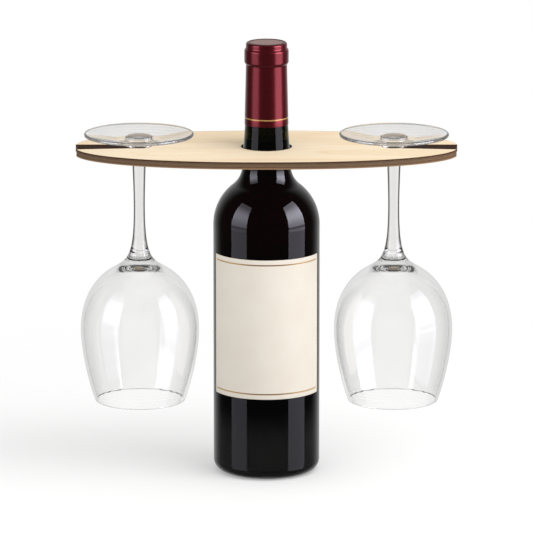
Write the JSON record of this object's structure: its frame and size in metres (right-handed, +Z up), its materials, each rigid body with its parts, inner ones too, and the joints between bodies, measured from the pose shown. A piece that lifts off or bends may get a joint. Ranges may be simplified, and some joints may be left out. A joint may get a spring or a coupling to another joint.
{
  "type": "wine bottle and glass holder",
  "caption": "Corked wine bottle with a flat oval plywood holder on its neck, and stemmed wine glasses hung upside down by their feet from open slots at the holder's ends.",
  "frame": {"origin": "on the table, at the centre of the bottle's base", "axes": "+Z up along the bottle, +X along the holder's length to the right-hand glass, -Y to the front, where the bottle's label is"},
  "size_m": [0.2646, 0.114, 0.3036],
  "materials": {
    "bottle_glass": "dark olive bottle glass, polished",
    "wine": "red wine",
    "cork": "natural cork",
    "capsule": "satin burgundy capsule",
    "capsule_disc": "matte grey-brown",
    "label": "uncoated cream paper with thin gold lines",
    "veneer": "pale birch veneer, sanded",
    "core_ply": "birch core, laser-cut edge charred brown",
    "clear_glass": "clear, polished"
  },
  "bodies": {
    "bottle": {"bottle_glass": "bottle_glass", "wine_fill": "wine", "cork": "cork", "capsule_sleeve": "capsule", "capsule_top_disc": "capsule_disc", "front_label": "label"},
    "holder": {"holder_bottom_veneer": "veneer", "holder_core_ply": "core_ply", "holder_top_veneer": "veneer"},
    "left_glass": {"wine_glass_left": "clear_glass"},
    "right_glass": {"wine_glass_right": "clear_glass"}
  },
  "joints": [
    {"name": "holder_lift", "type": "slide", "parent": "bottle", "child": "holder", "axis": [0, 0, 1], "range_m": [0, 0.085]},
    {"name": "left_glass_slide", "type": "slide", "parent": "holder", "child": "left_glass", "axis": [-0.9984, -0.0567, 0], "range_m": [0, 0.085]},
    {"name": "right_glass_slide", "type": "slide", "parent": "holder", "child": "right_glass", "axis": [0.9984, -0.0567, 0], "range_m": [0, 0.085]}
  ]
}
